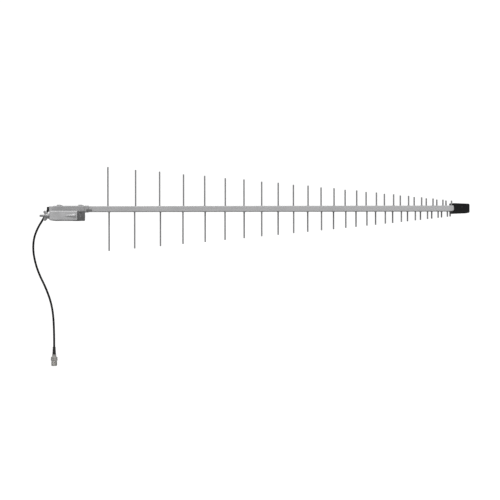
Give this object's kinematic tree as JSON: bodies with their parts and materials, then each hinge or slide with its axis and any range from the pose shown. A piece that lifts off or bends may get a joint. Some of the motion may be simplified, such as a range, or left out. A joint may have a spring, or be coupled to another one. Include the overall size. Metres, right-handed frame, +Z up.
{
  "type": "log-periodic directional antenna",
  "caption": "Directional antenna with two parallel square booms, alternating dipole rods, a black feed cap at the front, a tilting saddle, a two-jaw mast clamp and a short hanging coax lead.",
  "frame": {"origin": "on the mast's axis at the clamp's mid-height, the centre of the mast_grip mount", "axes": "+X along the booms to the front of the antenna, +Z up the mast, -Y the side of the clamp away from the booms"},
  "size_m": [1.1502, 0.1284, 0.5243],
  "materials": {
    "boom_aluminium": "satin anodised square tube",
    "rod_aluminium": "satin anodised round rod",
    "saddle_cast": "die-cast aluminium, fine grain",
    "bracket_steel": "zinc-plated pressed steel",
    "jaw_steel": "dark passivated steel",
    "fastener_steel": "zinc-plated fasteners",
    "black_plastic": "moulded black plastic, fine texture",
    "grey_plastic": "light grey moulded plastic",
    "cable_jacket": "smooth black cable jacket",
    "black_rubber": "black rubber",
    "grey_rubber": "dark grey rubber",
    "fibre": "hard fibre",
    "brass": "plain brass",
    "nickel": "nickel plate",
    "ptfe": "white PTFE",
    "screw_black": "blackened steel"
  },
  "bodies": {
    "mount": {"mast_bracket": "bracket_steel", "bracket_seat": "black_rubber", "tilt_studs": "fastener_steel", "friction_disc": "fibre", "tilt_washers": "fastener_steel", "tilt_nuts": "fastener_steel", "jaw_washers": "fastener_steel"},
    "jaw": {"sliding_jaw": "jaw_steel", "jaw_seat": "black_rubber", "jaw_bolts": "fastener_steel"},
    "near_nut": {"wing_nut_near": "fastener_steel"},
    "far_nut": {"wing_nut_far": "fastener_steel"},
    "antenna": {"near_boom": "boom_aluminium", "far_boom": "boom_aluminium", "dipole_01": "rod_aluminium", "dipole_02": "rod_aluminium", "dipole_03": "rod_aluminium", "dipole_04": "rod_aluminium", "dipole_05": "rod_aluminium", "dipole_06": "rod_aluminium", "dipole_07": "rod_aluminium", "dipole_08": "rod_aluminium", "dipole_09": "rod_aluminium", "dipole_10": "rod_aluminium", "dipole_11": "rod_aluminium", "dipole_12": "rod_aluminium", "dipole_13": "rod_aluminium", "dipole_14": "rod_aluminium", "dipole_15": "rod_aluminium", "dipole_16": "rod_aluminium", "dipole_17": "rod_aluminium", "dipole_18": "rod_aluminium", "dipole_19": "rod_aluminium", "dipole_20": "rod_aluminium", "dipole_21": "rod_aluminium", "dipole_22": "rod_aluminium", "dipole_23": "rod_aluminium", "dipole_24": "rod_aluminium", "dipole_25": "rod_aluminium", "dipole_26": "rod_aluminium", "dipole_27": "rod_aluminium", "dipole_28": "rod_aluminium", "dipole_29": "rod_aluminium", "boom_end_caps": "grey_plastic", "cable_elbow": "black_plastic", "feed_cable": "cable_jacket", "boom_front_plugs": "saddle_cast", "feed_strap": "brass", "feed_screw": "fastener_steel", "front_cap": "black_plastic", "cap_screws": "screw_black", "boom_spacers": "black_plastic", "boom_saddle": "saddle_cast", "saddle_screws": "fastener_steel", "boom_pads": "grey_rubber", "hanging_lead": "cable_jacket", "jack_boot": "black_rubber", "jack_body": "nickel", "jack_insulator": "ptfe", "jack_contact": "brass"}
  },
  "joints": [
    {"name": "boom_tilt", "type": "hinge", "parent": "mount", "child": "antenna", "pos_m": [0.025, 0.0413, 0], "axis": [0, -1, 0], "range_deg": [-15, 15]},
    {"name": "near_nut_spin", "type": "hinge", "parent": "mount", "child": "near_nut", "pos_m": [-0.0346, -0.027, 0], "axis": [1, 0, 0], "range_deg": [-1803, 1083]},
    {"name": "far_nut_spin", "type": "hinge", "parent": "mount", "child": "far_nut", "pos_m": [-0.0346, 0.027, 0], "axis": [1, 0, 0], "range_deg": [-1803, 1083]},
    {"name": "jaw_slide", "type": "slide", "parent": "mount", "child": "jaw", "axis": [-1, 0, 0], "range_m": [-0.005, 0.003]}
  ],
  "couplings": [
    {"joint": "near_nut_spin", "follows": "jaw_slide", "rad_per_m": 6283.2},
    {"joint": "far_nut_spin", "follows": "jaw_slide", "rad_per_m": 6283.2}
  ]
}
